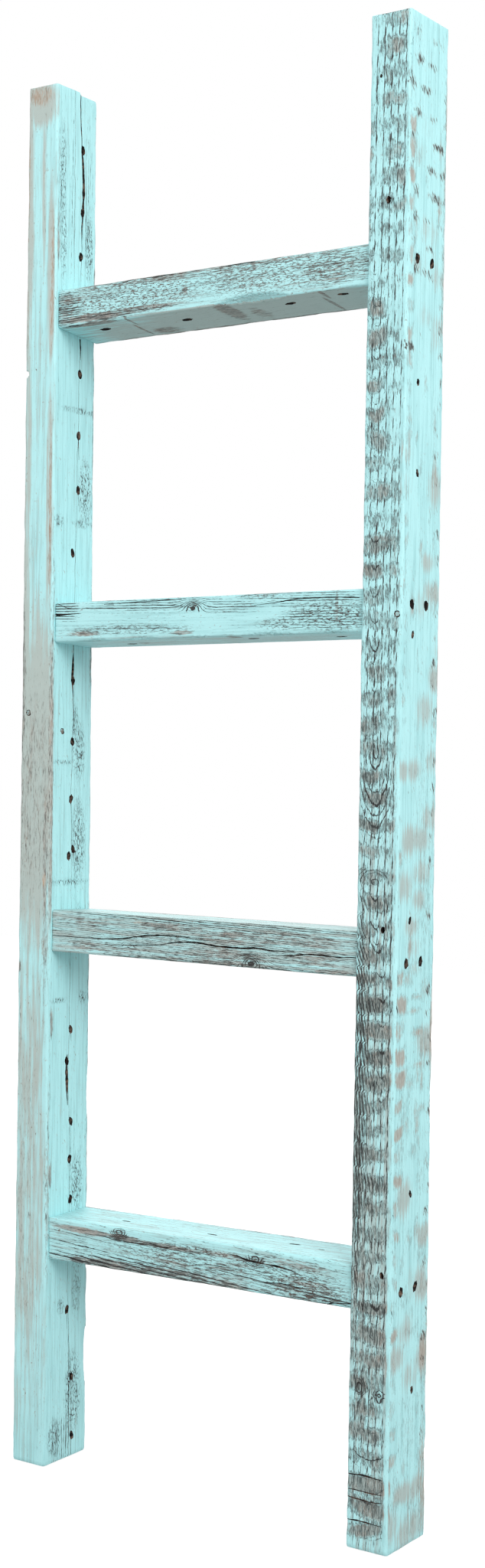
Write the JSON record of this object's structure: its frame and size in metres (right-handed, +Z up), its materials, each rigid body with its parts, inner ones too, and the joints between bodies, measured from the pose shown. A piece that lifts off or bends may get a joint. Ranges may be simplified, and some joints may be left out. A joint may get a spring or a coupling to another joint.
{
  "type": "blanket ladder",
  "caption": "Rigid leaning blanket ladder of distressed painted reclaimed timber: square posts joined by butted flat rungs, held by sunk wood screws.",
  "frame": {"origin": "on the floor, midway between the outer edges of the two feet and midway between front and back", "axes": "+Z up along the posts, +X along the rungs to the viewer's right, +Y from the front faces to the back"},
  "size_m": [0.389, 0.0615, 1.219],
  "materials": {
    "painted_timber_posts": "chalky robin's-egg blue paint worn through to grey weathered softwood",
    "painted_timber_rungs": "the same worn paint on rungs of the same old timber",
    "screw_steel": "dull zinc-plated steel",
    "old_nail_iron": "rusted, mostly painted over"
  },
  "bodies": {
    "root": {"left_post": "painted_timber_posts", "right_post": "painted_timber_posts", "bottom_rung": "painted_timber_rungs", "lower_rung": "painted_timber_rungs", "upper_rung": "painted_timber_rungs", "top_rung": "painted_timber_rungs", "bottom_rung_left_screws": "screw_steel", "bottom_rung_right_screws": "screw_steel", "lower_rung_left_screws": "screw_steel", "lower_rung_right_screws": "screw_steel", "upper_rung_left_screws": "screw_steel", "upper_rung_right_screws": "screw_steel", "top_rung_left_screws": "screw_steel", "top_rung_right_screws": "screw_steel", "left_post_front_nail": "old_nail_iron", "left_post_side_nail": "old_nail_iron", "right_post_front_nail": "old_nail_iron"}
  },
  "joints": []
}
